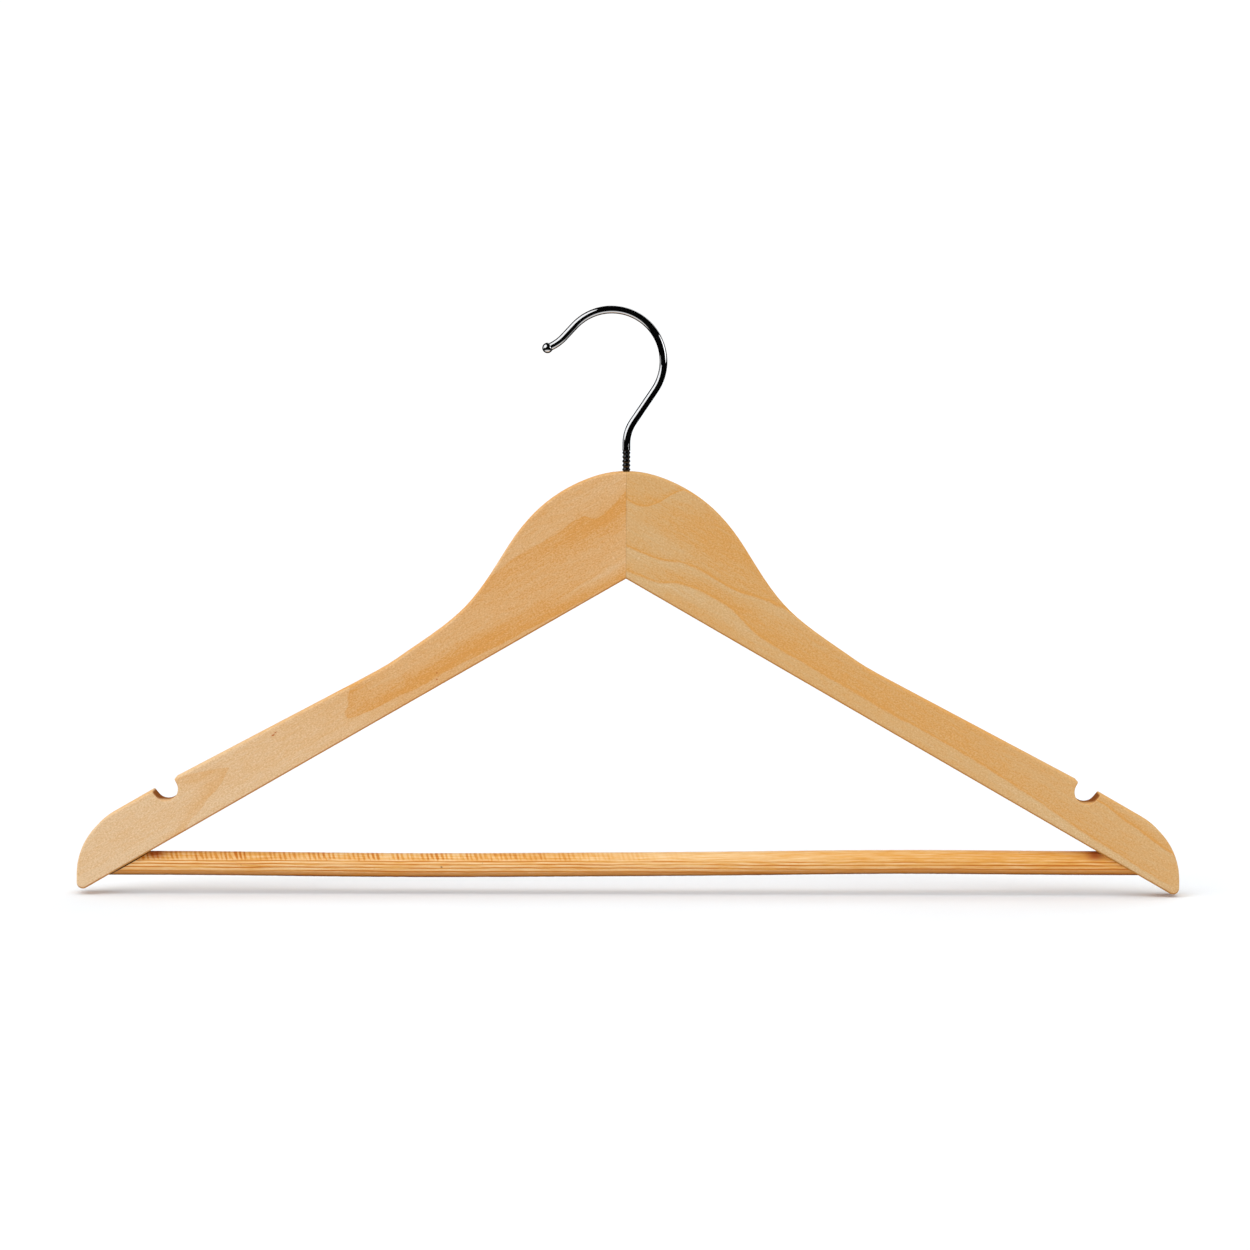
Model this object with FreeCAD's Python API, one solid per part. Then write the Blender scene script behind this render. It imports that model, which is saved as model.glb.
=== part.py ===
import FreeCAD, Part
import math
import os

# Flat wooden clothes hanger with strap notches, a round trouser bar and a swivel hook.
#
# Frame: millimetres. +X runs along the hanger to the right, +Y goes through it from front
# to back, +Z is up. The origin lies on the swivel axis, where the inside of the hook rests
# on the rail. Six pieces: two arms, the trouser bar, its two nails and the hook.

# ---- Driving dimensions ----
# The right arm reaches further from the swivel axis than the left arm does.
OVERALL_WIDTH = 449.3
RIGHT_ARM_EXTRA = 2.2
ARM_THICKNESS = 12.0
EDGE_ROUNDING = 0.9

# Head and shoulders. The neck curve starts at the top of the head and ends on the straight
# shoulder: each point is (distance from the centre line, drop below the top of the head).
HEAD_TOP = -62.9
HEAD_HEIGHT = 43.1
NECK_CURVE = [(0.0, 0.0), (16.0, 3.2), (32.0, 12.3), (44.0, 24.8),
              (54.0, 40.2), (64.0, 53.8), (76.0, 64.5), (90.0, 74.3), (108.0, 85.2)]
SHOULDER_SLOPE = 27.9
LOWER_EDGE_SLOPE = 30.0

# Arm ends. The slope changes in the mouth of the strap notch.
SHOULDER_BEND_RADIUS = 80.0
TIP_SLOPE = 30.0
TIP_RADIUS = 28.8
TIP_CORNER_RADIUS = 2.5

# Strap notch: round at the bottom, with its inner wall square to the shoulder and its
# outer wall leaning outward. The right-hand notch is cut a little further out.
NOTCH_X = 188.2
RIGHT_NOTCH_EXTRA = 0.6
NOTCH_RADIUS = 5.0
NOTCH_DEPTH = 7.0
NOTCH_FLARE = 11.0
NOTCH_EDGE_ROUNDING = 0.4

# Finger joint between the arms: a zigzag through the thickness, the same from top to bottom,
# that starts and ends in a plain butt seam under each face.
FINGER_LENGTH = 9.0
FINGER_PITCH = 4.0
BUTT_SEAM_DEPTH = 1.0

# Trouser bar: a sanded 10 mm dowel, slightly warped between its straight ends, of which the
# right one sits higher and the left one lower by the end rise. Each warp point is (place
# along the bar, rise). The sockets start where the bar is still in the open.
BAR_DIAMETER = 9.8
BAR_HALF_LENGTH = 216.0
BAR_AXIS_Z = -222.9
BAR_END_RISE = 0.45
BAR_STRAIGHT_END = 24.0
SOCKET_INNER_X = 165.0
BAR_END_CHAMFER = 0.6
BAR_WARP = [(-90.0, -1.1), (-30.0, -0.8), (50.0, 0.0), (112.0, 0.75)]

# Bar nails, driven from the back through arm and bar.
NAIL_X = 211.0
NAIL_DIAMETER = 1.2
NAIL_LENGTH = 10.0
NAIL_POINT = 1.8
NAIL_HEAD_DIAMETER = 2.2
NAIL_HEAD_THICKNESS = 0.5
NAIL_HEAD_DEPTH = 0.3

# Hook: round wire with a ball end and a coarse thread, drawn as separate rings.
WIRE_DIAMETER = 3.2
HOOK_RADIUS = 20.8
HOOK_CENTRE_X = -5.9
HOOK_LEAN = 34.0
NECK_BEND_RADIUS = 16.0
TIP_HEADING = 47.0
TIP_STRAIGHT = 6.2
TIP_BEND_RADIUS = 17.0
TIP_BEND_ANGLE = 27.0
BALL_DIAMETER = 4.3
THREAD_TOP = -54.4
THREAD_PITCH = 1.7
THREAD_RINGS = 20
THREAD_ROOT_RADIUS = 1.3
THREAD_CREST_RADIUS = 1.62
THREAD_CREST_WIDTH = 0.55
THREAD_ROOT_WIDTH = 0.45
THREAD_CLEARANCE = 0.08
SHANK_POINT_LENGTH = 1.0
SHANK_POINT_RADIUS = 0.7
BORE_RUNOUT = 1.5

# Modelling allowances: how far cutters reach past the wood, and when a point lies on a face.
CUTTER_MARGIN = 10.0
TOUCH = 1e-4

# ---- Values worked out from the driving dimensions ----
HALF_WIDTH = OVERALL_WIDTH / 2.0
HALF_THICKNESS = ARM_THICKNESS / 2.0
WIRE_RADIUS = WIRE_DIAMETER / 2.0
BAR_RADIUS = BAR_DIAMETER / 2.0
APEX_Z = HEAD_TOP - HEAD_HEIGHT
SEAT_RADIUS = HOOK_RADIUS - WIRE_RADIUS
HOOK_CENTRE_Z = -math.sqrt(SEAT_RADIUS ** 2 - HOOK_CENTRE_X ** 2)
THREAD_BOTTOM = THREAD_TOP - THREAD_RINGS * THREAD_PITCH


def at(x, z, y=0.0):
    """A point given by its place in the hanger's plane and its depth."""
    return FreeCAD.Vector(x, y, z)


def slope_vector(degrees_down):
    """Unit vector that runs outward (+X) and falls at the given angle."""
    angle = math.radians(degrees_down)
    return at(math.cos(angle), -math.sin(angle))


def cylinder_along_x(radius, x_start, x_end, z):
    start = at(min(x_start, x_end), z)
    return Part.makeCylinder(radius, abs(x_end - x_start), start, FreeCAD.Vector(1, 0, 0))


def rounded_run(points, radii):
    """Edges of a polyline with its inner corners rounded to the given radii."""
    edges = []
    last = points[0]
    for before, corner, after, radius in zip(points, points[1:], points[2:], radii):
        back = (before - corner).normalize()
        ahead = (after - corner).normalize()
        half_angle = back.getAngle(ahead) / 2.0
        reach = radius / math.tan(half_angle)
        bisector = (back + ahead).normalize()
        arc_start = corner + back * reach
        arc_middle = corner + bisector * (radius / math.sin(half_angle) - radius)
        arc_end = corner + ahead * reach
        if last.distanceToPoint(arc_start) > TOUCH:
            edges.append(Part.LineSegment(last, arc_start).toShape())
        edges.append(Part.Arc(arc_start, arc_middle, arc_end).toShape())
        last = arc_end
    edges.append(Part.LineSegment(last, points[-1]).toShape())
    return edges


# ---- Arms ----
def neck_edge():
    """Head and neck as one smooth curve, level at the top, in line with the shoulder."""
    points = [at(x, HEAD_TOP - drop) for x, drop in NECK_CURVE]
    curve = Part.BSplineCurve()
    curve.interpolate(Points=points, InitialTangent=at(1, 0),
                      FinalTangent=slope_vector(SHOULDER_SLOPE))
    return curve.toShape()


def shoulder_line():
    """Start and direction of the straight shoulder on the right-hand side."""
    start_x, start_drop = NECK_CURVE[-1]
    return at(start_x, HEAD_TOP - start_drop), slope_vector(SHOULDER_SLOPE)


def notch_middle(side):
    """Point on the shoulder above the middle of a side's strap notch, drawn to the right."""
    start, along = shoulder_line()
    notch_x = NOTCH_X + side * RIGHT_NOTCH_EXTRA / 2.0
    return start + along * ((notch_x - start.x) / along.x)


def shoulder_edges(side):
    """A side's outline from the end of the neck round the tip to the apex, drawn to the right."""
    reach = HALF_WIDTH + side * RIGHT_ARM_EXTRA / 2.0
    start, _ = shoulder_line()
    bend = notch_middle(side)
    tip_along = slope_vector(TIP_SLOPE)
    tip_top = bend + tip_along * ((reach - bend.x) / tip_along.x)
    tip_bottom_z = APEX_Z - reach * math.tan(math.radians(LOWER_EDGE_SLOPE))
    points = [start, bend, tip_top, at(reach, tip_bottom_z), at(0, APEX_Z)]
    return rounded_run(points, [SHOULDER_BEND_RADIUS, TIP_RADIUS, TIP_CORNER_RADIUS])


def strap_notch(side):
    """Cutter for a side's strap notch, through the whole thickness, drawn to the right."""
    middle = notch_middle(side)
    along = slope_vector(SHOULDER_SLOPE)
    inward = at(along.z, -along.x)
    flare = math.radians(NOTCH_FLARE)
    outer_foot = NOTCH_RADIUS * math.tan(math.pi / 4.0 - flare / 2.0)
    outer_top = outer_foot + (NOTCH_DEPTH + NOTCH_RADIUS) * math.tan(flare)
    stations = [(-NOTCH_RADIUS, -NOTCH_RADIUS), (-NOTCH_RADIUS, NOTCH_DEPTH),
                (outer_foot, NOTCH_DEPTH), (outer_top, -NOTCH_RADIUS)]
    points = [middle + along * out + inward * down for out, down in stations]
    edges = rounded_run(points, [NOTCH_RADIUS, NOTCH_RADIUS])
    edges.append(Part.LineSegment(points[-1], points[0]).toShape())
    face = Part.Face(Part.Wire(edges))
    face.translate(at(0, 0, -ARM_THICKNESS))
    return face.extrude(at(0, 0, 2.0 * ARM_THICKNESS))


def is_notch_rim(edge, cutter, side):
    """True where the notch breaks the board's surface, false for a seam down on its wall."""
    middle = edge.valueAt((edge.FirstParameter + edge.LastParameter) / 2.0)
    on_wall = cutter.Shells[0].distToShape(Part.Vertex(middle))[0] < TOUCH
    through_board = abs(edge.tangentAt(edge.FirstParameter).y) > 1.0 - TOUCH
    down_in_notch = middle.z < notch_middle(side).z - NOTCH_DEPTH / 2.0
    return on_wall and not (through_board and down_in_notch)


def mirrored(shape):
    return shape.mirror(FreeCAD.Vector(0, 0, 0), FreeCAD.Vector(1, 0, 0))


def wooden_blank():
    """Both arms as one board with rounded edges, before it is parted at the joint."""
    right = [neck_edge()] + shoulder_edges(1)
    left = [mirrored(edge) for edge in [neck_edge()] + shoulder_edges(-1)]
    outline = Part.Wire(Part.__sortEdges__(right + left))
    board = Part.Face(outline).extrude(FreeCAD.Vector(0, ARM_THICKNESS, 0))
    board.translate(FreeCAD.Vector(0, -HALF_THICKNESS, 0))
    rims = []
    for edge in board.Edges:
        depths = [abs(vertex.Point.y) for vertex in edge.Vertexes]
        level = abs(edge.Vertexes[0].Point.y - edge.Vertexes[-1].Point.y) < TOUCH
        if level and min(depths) > HALF_THICKNESS - TOUCH:
            rims.append(edge)
    board = board.makeFillet(EDGE_ROUNDING, rims)
    for side in (1, -1):
        cutter = strap_notch(side) if side > 0 else mirrored(strap_notch(side))
        board = board.cut(cutter)
        rim = [edge for edge in board.Edges if is_notch_rim(edge, cutter, side)]
        board = board.makeFillet(NOTCH_EDGE_ROUNDING, rim)
    return board


def joint_side():
    """Everything to the right of the zigzag glue line."""
    step = FINGER_PITCH / 2.0
    depth = HALF_THICKNESS - BUTT_SEAM_DEPTH
    tips = int(round(2.0 * depth / step))
    zigzag = [(0.0, -depth)]
    for index in range(tips):
        reach = FINGER_LENGTH / 2.0 if index % 2 == 0 else -FINGER_LENGTH / 2.0
        zigzag.append((reach, -depth + (index + 0.5) * step))
    zigzag.append((0.0, depth))
    far = HALF_WIDTH + CUTTER_MARGIN
    beyond = HALF_THICKNESS + CUTTER_MARGIN
    corners = [(0.0, -beyond)] + zigzag + [(0.0, beyond), (far, beyond), (far, -beyond)]
    bottom = HEAD_TOP - HALF_WIDTH
    points = [at(x, bottom, y) for x, y in corners]
    face = Part.Face(Part.makePolygon(points + points[:1]))
    return face.extrude(FreeCAD.Vector(0, 0, HALF_WIDTH + CUTTER_MARGIN))


def arm(blank, side):
    """One arm with its share of the joint, the hook bore, bar socket and nail hole."""
    region = joint_side()
    wood = blank.common(region) if side > 0 else blank.cut(region)
    wood = wood.cut(hook_bore())
    socket = cylinder_along_x(BAR_RADIUS, side * SOCKET_INNER_X,
                              side * BAR_HALF_LENGTH, bar_end_z(side))
    wood = wood.cut(socket)
    return wood.cut(nail_hole(side))


# ---- Trouser bar and its nails ----
def bar_end_z(side):
    """Height of the bar's axis in a side's socket."""
    return BAR_AXIS_Z + side * BAR_END_RISE


def bar():
    straight_x = BAR_HALF_LENGTH - BAR_STRAIGHT_END
    stations = [(-straight_x, -BAR_END_RISE)] + BAR_WARP + [(straight_x, BAR_END_RISE)]
    curve = Part.BSplineCurve()
    curve.interpolate(Points=[at(x, BAR_AXIS_Z + rise) for x, rise in stations],
                      InitialTangent=at(1, 0), FinalTangent=at(1, 0))
    profile = Part.Wire(Part.makeCircle(BAR_RADIUS, at(-straight_x, bar_end_z(-1)), at(1, 0)))
    middle = Part.Wire(curve.toShape()).makePipeShell([profile], True, False)
    ends = [bar_end(side, straight_x) for side in (-1, 1)]
    rod = middle.fuse(ends).removeSplitter()
    for side in (-1, 1):
        rod = rod.cut(nail(side))
    return rod


def bar_end(side, straight_x):
    """Straight end of the bar, chamfered, as it sits in its socket."""
    end = cylinder_along_x(BAR_RADIUS, side * straight_x, side * BAR_HALF_LENGTH, bar_end_z(side))
    rims = []
    for edge in end.Edges:
        if abs(edge.CenterOfMass.x - side * BAR_HALF_LENGTH) < TOUCH:
            rims.append(edge)
    return end.makeChamfer(BAR_END_CHAMFER, rims)


def nail(side):
    """Round nail along Y: head just under the back face, point inside the bar."""
    head_top = HALF_THICKNESS - NAIL_HEAD_DEPTH
    head_bottom = head_top - NAIL_HEAD_THICKNESS
    tip = head_top - NAIL_LENGTH
    shank = NAIL_DIAMETER / 2.0
    head = NAIL_HEAD_DIAMETER / 2.0
    profile = [(0.0, tip), (shank, tip + NAIL_POINT), (shank, head_bottom),
               (head, head_bottom), (head, head_top), (0.0, head_top)]
    points = [FreeCAD.Vector(radius, y, 0) for radius, y in profile]
    face = Part.Face(Part.makePolygon(points + points[:1]))
    body = face.revolve(FreeCAD.Vector(0, 0, 0), FreeCAD.Vector(0, 1, 0), 360)
    body.translate(at(side * NAIL_X, bar_end_z(side)))
    return body


def nail_hole(side):
    """The nail's own shape, with its head's seat open to the back face."""
    head_top = at(side * NAIL_X, bar_end_z(side), HALF_THICKNESS - NAIL_HEAD_DEPTH)
    seat = Part.makeCylinder(NAIL_HEAD_DIAMETER / 2.0, CUTTER_MARGIN, head_top,
                             FreeCAD.Vector(0, 1, 0))
    return nail(side).fuse(seat).removeSplitter()


# ---- Hook and the bore it swivels in ----
def ring_profile(extra, top, bottom):
    """Half section of the ringed shank between two heights, grown by extra all over."""
    half_crest = THREAD_CREST_WIDTH / 2.0
    half_foot = (THREAD_PITCH - THREAD_ROOT_WIDTH) / 2.0
    root = THREAD_ROOT_RADIUS
    crest = THREAD_CREST_RADIUS
    flank_turn = math.atan2(crest - root, half_foot - half_crest)
    widening = extra * math.tan(flank_turn / 2.0)
    half_crest += widening
    half_foot += widening
    root += extra
    crest += extra
    section = [(0.0, top), (root, top)]
    for index in range(THREAD_RINGS):
        middle = THREAD_TOP - (index + 0.5) * THREAD_PITCH
        if middle + half_foot > top or middle - half_foot < bottom:
            continue
        section.append((root, middle + half_foot))
        section.append((crest, middle + half_crest))
        section.append((crest, middle - half_crest))
        section.append((root, middle - half_foot))
    section.append((root, bottom))
    section.append((0.0, bottom))
    return section


def turned(section):
    """Solid turned about the swivel axis from a half section of (radius, z) points."""
    points = [at(radius, z) for radius, z in section]
    face = Part.Face(Part.makePolygon(points + points[:1]))
    return face.revolve(FreeCAD.Vector(0, 0, 0), FreeCAD.Vector(0, 0, 1), 360)


def hook_bore():
    """Bore that the hook's thread has formed in the head, with running clearance."""
    top = HEAD_TOP + CUTTER_MARGIN
    return turned(ring_profile(THREAD_CLEARANCE, top, THREAD_BOTTOM - BORE_RUNOUT))


def hook_path():
    """Centre line of the smooth wire, from the thread up and over to the ball."""
    centre = at(HOOK_CENTRE_X, HOOK_CENTRE_Z)
    lean = math.radians(HOOK_LEAN)
    corner_drop = (HOOK_RADIUS + HOOK_CENTRE_X * math.cos(lean)) / math.sin(lean)
    corner = at(0, HOOK_CENTRE_Z - corner_drop)

    def on_hook(degrees):
        angle = math.radians(degrees)
        return centre + at(math.cos(angle), math.sin(angle)) * HOOK_RADIUS

    arc_start = on_hook(-HOOK_LEAN)
    arc_end = on_hook(90.0 + TIP_HEADING)
    arc_middle = on_hook((90.0 + TIP_HEADING - HOOK_LEAN) / 2.0)
    neck = rounded_run([at(0, THREAD_TOP), corner, arc_start], [NECK_BEND_RADIUS])
    heading = math.radians(180.0 + TIP_HEADING)
    ahead = at(math.cos(heading), math.sin(heading))
    bend_start = arc_end + ahead * TIP_STRAIGHT
    towards = at(math.sin(heading), -math.cos(heading))
    bend_centre = bend_start + towards * TIP_BEND_RADIUS

    def on_bend(share):
        angle = math.radians(90.0 + TIP_HEADING - TIP_BEND_ANGLE * share) + math.pi
        return bend_centre + at(math.cos(angle), math.sin(angle)) * TIP_BEND_RADIUS

    edges = neck + [Part.Arc(arc_start, arc_middle, arc_end).toShape(),
                    Part.LineSegment(arc_end, bend_start).toShape(),
                    Part.Arc(bend_start, on_bend(0.5), on_bend(1.0)).toShape()]
    return Part.Wire(edges), on_bend(1.0)


def hook():
    path, ball_centre = hook_path()
    profile = Part.Wire(Part.makeCircle(WIRE_RADIUS, at(0, THREAD_TOP), at(0, 1)))
    wire = path.makePipeShell([profile], True, False)
    ball = Part.makeSphere(BALL_DIAMETER / 2.0, ball_centre)
    section = ring_profile(0.0, THREAD_TOP, THREAD_BOTTOM)
    point_z = THREAD_BOTTOM - SHANK_POINT_LENGTH
    shank = turned(section[:-1] + [(SHANK_POINT_RADIUS, point_z), (0.0, point_z)])
    return wire.fuse([ball, shank])


def main():
    os.makedirs("parts", exist_ok=True)
    blank = wooden_blank()
    nodes = {
        "left_arm": arm(blank, -1),
        "right_arm": arm(blank, 1),
        "trouser_bar": bar(),
        "left_bar_nail": nail(-1),
        "right_bar_nail": nail(1),
        "hook": hook(),
    }
    for name, shape in nodes.items():
        solid = shape.Solids[0]
        shape.exportStep(f"parts/{name}.step")
        box = shape.optimalBoundingBox(False)
        print(f"{name}: {len(shape.Solids)} solid, valid {shape.isValid()}, "
              f"{solid.Volume / 1000.0:.2f} cm3, "
              f"x {box.XMin:.1f}..{box.XMax:.1f}, y {box.YMin:.1f}..{box.YMax:.1f}, "
              f"z {box.ZMin:.1f}..{box.ZMax:.1f}")


main()
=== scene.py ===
import math
from collections import namedtuple

import bpy
from mathutils import Matrix, Vector


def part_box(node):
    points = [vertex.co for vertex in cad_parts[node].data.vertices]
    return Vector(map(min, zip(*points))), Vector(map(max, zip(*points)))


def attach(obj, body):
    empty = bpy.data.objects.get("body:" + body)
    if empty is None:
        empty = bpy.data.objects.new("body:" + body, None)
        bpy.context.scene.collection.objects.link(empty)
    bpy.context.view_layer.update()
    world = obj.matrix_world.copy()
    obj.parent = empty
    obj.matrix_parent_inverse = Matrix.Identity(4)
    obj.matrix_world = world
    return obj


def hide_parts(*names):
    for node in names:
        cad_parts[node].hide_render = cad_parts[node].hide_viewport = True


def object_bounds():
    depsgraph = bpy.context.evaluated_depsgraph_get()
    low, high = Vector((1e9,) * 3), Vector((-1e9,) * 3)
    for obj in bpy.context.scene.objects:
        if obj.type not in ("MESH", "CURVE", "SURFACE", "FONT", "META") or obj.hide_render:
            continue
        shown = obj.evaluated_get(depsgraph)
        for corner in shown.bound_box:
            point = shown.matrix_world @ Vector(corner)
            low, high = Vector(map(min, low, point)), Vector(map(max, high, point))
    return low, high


# Looks for a flat wooden clothes hanger: two lacquered hardwood arms, a softwood trouser bar
# and a chrome wire hook. Lengths are in metres, angles in degrees, colours in sRGB (0 to 255).
# A pair of numbers for a soft edge says where it begins and where it ends.

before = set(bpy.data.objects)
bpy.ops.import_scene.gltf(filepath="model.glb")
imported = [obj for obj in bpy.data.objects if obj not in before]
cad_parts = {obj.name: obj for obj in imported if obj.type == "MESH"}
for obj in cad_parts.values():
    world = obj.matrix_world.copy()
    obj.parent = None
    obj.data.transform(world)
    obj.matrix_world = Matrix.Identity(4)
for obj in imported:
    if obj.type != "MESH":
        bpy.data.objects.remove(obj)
CAD_LOW, CAD_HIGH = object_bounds()

# ---- Places read from the frame ----
LOWEST_Z = CAD_LOW.z
FRONT_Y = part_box("right_arm")[0].y
NAIL_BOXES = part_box("left_bar_nail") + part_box("right_bar_nail")
BAR_AXIS_Z = sum(corner.z for corner in NAIL_BOXES) / len(NAIL_BOXES)

# ---- Grain frame of an arm ----
# Every figure in the wood is placed by its distance along the arm from the inner corner
# between the arms, and its distance above the arm's lower edge.
INNER_CORNER_Z = -0.1060
GRAIN_SLOPE = 29.0
LOWER_EDGE_SLOPE = 30.0
# How far the figure drifts along and above for each metre of depth into the board.
DRIFT_ALONG = 1.6
DRIFT_ABOVE = 0.35

# ---- Colours ----
# Each arm's wood runs through three tones, from pale through middle to dark. The right arm's are a
# little darker: partly its own wood, partly painted shade where the light falls off to the right.
LEFT_TONES = [(224, 191, 150), (219, 172, 117), (216, 151, 72)]
RIGHT_TONES = [(216, 186, 143), (213, 170, 114), (216, 155, 78)]
ARM_FLECK = (186, 98, 30)
ARM_SEAM = (170, 118, 62)
# painted shade deepening into the strap notches
ARM_NOTCH_SHADE = (138, 82, 40)
# painted shade on the arms' downward faces
ARM_UNDERSIDE_SHADE = (178, 116, 34)
BAR_PALE = (246, 212, 160)
BAR_MIDDLE = (229, 165, 78)
BAR_LATEWOOD = (198, 106, 6)
# painted shade towards the bar's underside; the darker colour also serves the bar's real dark
# specks
BAR_LOWER_SHADE = (186, 112, 16)
BAR_SPECK_AND_UNDERSIDE_SHADE = (112, 60, 18)
# painted shade where the bar enters the arms
BAR_ENTRY_SHADE = (168, 62, 22)
# painted shadow of a gap under the left arm
BAR_GAP_SHADOW = (22, 14, 8)
CHROME = (225, 226, 228)
STEEL = (160, 160, 162)
STEEL_SCUFFED = (112, 110, 108)
THREAD_DARK = (38, 38, 40)
FLOOR = (237, 240, 243)
FLOOR_MOTTLE = (240, 243, 246)

# ---- Figure of the arms: points are (along, above) ----
# How dark the wood is on the whole, as points of (along, tone).
LEFT_TONE = [(0.0, 0.66), (0.05, 0.68), (0.09, 0.62), (0.13, 0.42), (0.18, 0.20), (0.25, 0.10)]
RIGHT_TONE = [(0.0, 0.60), (0.03, 0.70), (0.07, 0.78), (0.14, 0.78), (0.18, 0.64), (0.25, 0.54)]
# A growth line is dark on one side, where the ring ends, and pale on the other.
LEFT_LINES = [
    {"points": [(-.0174, .0313), (-.0119, .0294), (-.0068, .0278), (-.0019, .0273),
                (.0017, .0298), (.0049, .0310), (.0089, .0307), (.0156, .0294),
                (.0313, .0294), (.0419, .0280), (.0600, .0262)],
     "dark_side": -1, "dark": 0.18, "fade": 0.012, "pale": 0.12, "pale_fade": 0.022, "edge": 0.06},
    {"points": [(.0050, .0075), (.0300, .0060), (.0800, .0035), (.1400, .0030), (.2500, .0010)],
     "dark_side": 1, "dark": 0.04, "fade": 0.010, "pale": 0.07, "pale_fade": 0.006, "edge": 0.03},
]
RIGHT_LINES = [
    {"points": [(-.0142, .0281), (-.0080, .0293), (-.0040, .0329), (-.0005, .0387),
                (.0031, .0427)],
     "dark_side": 1, "dark": 0.20, "fade": 0.006, "pale": 0.10, "pale_fade": 0.008, "edge": 0.26},
    {"points": [(-.0060, .0116), (.0068, .0133), (.0211, .0174), (.0405, .0177),
                (.0494, .0192), (.0611, .0207)],
     "dark_side": 1, "dark": 0.14, "fade": 0.006, "pale": 0.20, "pale_fade": 0.006, "edge": 0.30},
    {"points": [(-.0012, .0030), (.0114, .0050), (.0209, .0089), (.0346, .0105), (.0592, .0060),
                (.1053, .0047), (.1475, .0048), (.1914, .0021), (.2232, -.0002), (.2480, -.0012)],
     "dark_side": 1, "dark": 0.14, "fade": 0.009, "pale": 0.26, "pale_fade": 0.009, "edge": 0.22},
    {"points": [(.2150, .0140), (.2261, .0126), (.2384, .0109), (.2472, .0102)],
     "dark_side": 1, "dark": 0.24, "fade": 0.004, "pale": 0.08, "pale_fade": 0.003, "edge": 0.30},
]
LINE_EDGE = (-0.0003, 0.0006)
LINE_RIM_PLACE = 0.0004
LINE_RIM_REACH = 0.0007
LINE_PALE_EDGE = (-0.0008, 0.0)
LINE_PALE_START = -0.0004
LINE_END_FADE = 0.012
# A flame is a rounded tongue of darker wood, crisp at its outline, fading away inside.
LEFT_FLAMES = [
    {"tip": (.1262, .0060), "towards": -1, "lean": 0.46, "slimness": 2.1,
     "dark": 0.34, "fade": 0.022},
    {"tip": (.1790, .0104), "towards": 1, "lean": -0.08, "slimness": 3.2,
     "dark": 0.30, "fade": 0.020},
]
RIGHT_FLAMES = []
FLAME_ROUNDNESS = 0.008
FLAME_EDGE = (-0.0002, 0.0006)
FLAME_FADE_START = 0.0005
# A zone is a soft cloud: (along, above, half length, half height, tone).
LEFT_ZONES = [(.0000, .0262, .0200, .0070, 0.12), (.0032, .0040, .0240, .0046, -0.26)]
RIGHT_ZONES = [(.0260, .0310, .0300, .0085, 0.24), (.0110, .0190, .0180, .0050, -0.12),
               (-.0100, .0360, .0120, .0060, 0.10)]
ZONE_EDGE = (0.15, 1.5)
# Flecks are (along, above, half length, half width).
LEFT_FLECKS = [(.1562, .0133, .0009, .0004), (.1548, .0138, .0010, .0002),
               (.0856, .0036, .0004, .0004), (.0869, .0012, .0004, .0004)]
RIGHT_FLECKS = []
FLECK_EDGE = (0.4, 1.2)
LEFT_FIGURE = {"tones": LEFT_TONES, "tone": LEFT_TONE, "lines": LEFT_LINES,
               "flames": LEFT_FLAMES, "zones": LEFT_ZONES, "flecks": LEFT_FLECKS}
RIGHT_FIGURE = {"tones": RIGHT_TONES, "tone": RIGHT_TONE, "lines": RIGHT_LINES,
                "flames": RIGHT_FLAMES, "zones": RIGHT_ZONES, "flecks": RIGHT_FLECKS}

# ---- Noise in the wood ----
# How fine each layer is along, above and through the grain (per metre), how far along the
# noise it starts, and its detail and roughness.
Layer = namedtuple("Layer", "along above through start detail roughness")
ARM_WANDER = Layer(55.0, 130.0, 0.0, 0.0, 3.0, 0.5)
ARM_RAGGED = Layer(150.0, 330.0, 0.0, 2.0, 3.0, 0.6)
ARM_CLOUDS = Layer(16.0, 70.0, 40.0, 0.0, 3.0, 0.5)
ARM_BANDS = Layer(7.0, 420.0, 0.0, 1.0, 4.0, 0.6)
ARM_FIBRES = Layer(260.0, 1100.0, 1100.0, 0.0, 2.0, 0.6)
ARM_PORES = Layer(1300.0, 2000.0, 2000.0, 0.0, 1.0, 0.5)
BAR_DRIFT = Layer(9.0, 0.0, 0.0, 2.0, 2.0, 0.5)
BAR_RIPPLE = Layer(60.0, 200.0, 200.0, 0.0, 2.0, 0.5)
BAR_WEAR = Layer(14.0, 500.0, 0.0, 7.0, 2.0, 0.5)
BAR_STREAKS = Layer(90.0, 1900.0, 1900.0, 0.0, 3.0, 0.6)
BAR_CLOUDS = Layer(22.0, 90.0, 0.0, 5.0, 2.0, 0.5)
BAR_SPECKS = Layer(420.0, 900.0, 900.0, 0.0, 0.0, 0.5)
TICK_JITTER = Layer(300.0, 0.0, 0.0, 4.0, 1.0, 0.5)
TICK_STRENGTH = Layer(110.0, 0.0, 0.0, 9.0, 3.0, 0.7)
TICK_FEET = Layer(500.0, 0.0, 0.0, 6.0, 1.0, 0.5)
ARM_SEED_STEP = 3.7

# ---- Arms: tones, shifts in metres, shares of a colour, and the surface ----
WANDER_REACH = 0.0022
RAGGED_REACH = 0.0050
CLOUD_TONE = 0.50
BAND_TONE = 0.34
FIBRE_TONE = 0.56
PORE_TONE = 0.90
PORE_DIMMING = 0.40
SEAM_EDGE = (0.00004, 0.00020)
SEAM_SHARE = 0.45
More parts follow.
